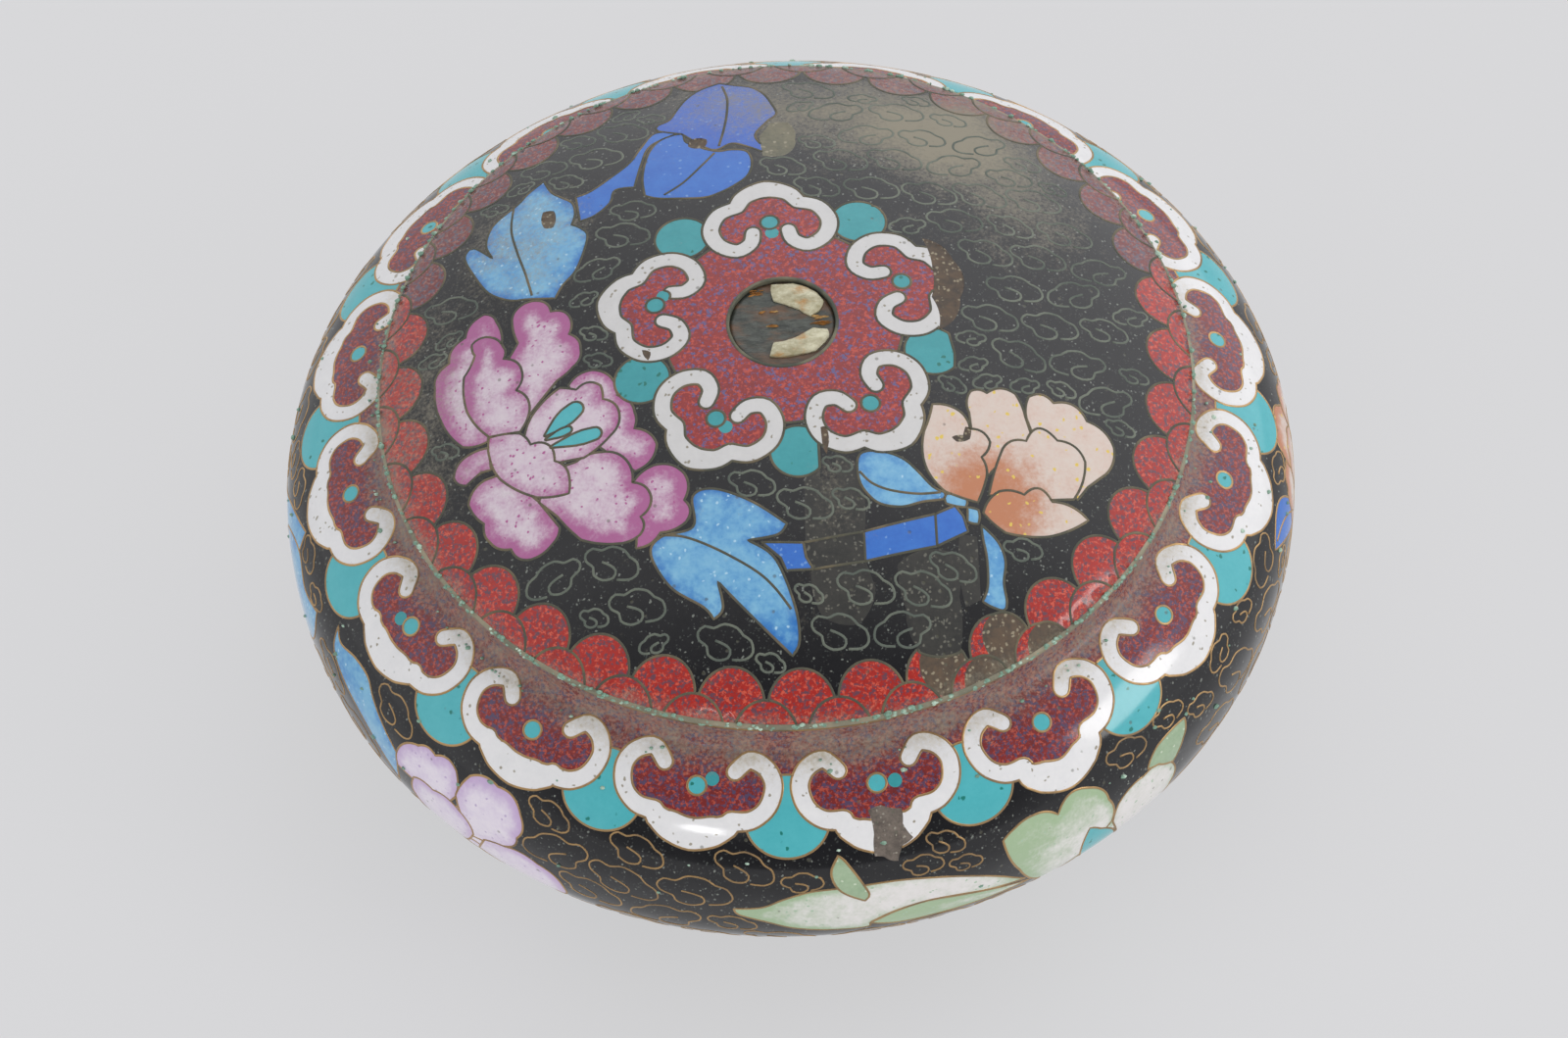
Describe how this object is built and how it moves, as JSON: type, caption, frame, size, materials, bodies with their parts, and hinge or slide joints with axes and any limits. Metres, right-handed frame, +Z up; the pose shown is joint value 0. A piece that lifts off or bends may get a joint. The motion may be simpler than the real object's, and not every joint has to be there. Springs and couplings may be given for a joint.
{
  "type": "cloisonne enamel box",
  "caption": "Low round cloisonne box with a domed lift-off lid, ruyi-head borders and peonies on black cloud-scroll ground; the lid's knob is missing.",
  "frame": {"origin": "centre of the foot ring's underside, on the box's axis", "axes": "+Z up along the box's axis towards the lid's top, -Y towards the side with the long pale leaf"},
  "size_m": [0.11, 0.11, 0.05],
  "materials": {
    "body_enamel": "glossy",
    "lid_enamel": "glossy",
    "tarnished_brass": "tarnished",
    "brass": "satin",
    "cement": "matt",
    "stone": "satin"
  },
  "bodies": {
    "root": {"foot_ring": "brass", "body": "body_enamel", "mouth_ring": "brass", "lid_ring": "tarnished_brass", "lid": "lid_enamel", "knob_collet": "tarnished_brass", "knob_cement": "cement", "knob_flake_back": "stone", "knob_flake_front": "stone"}
  },
  "joints": []
}
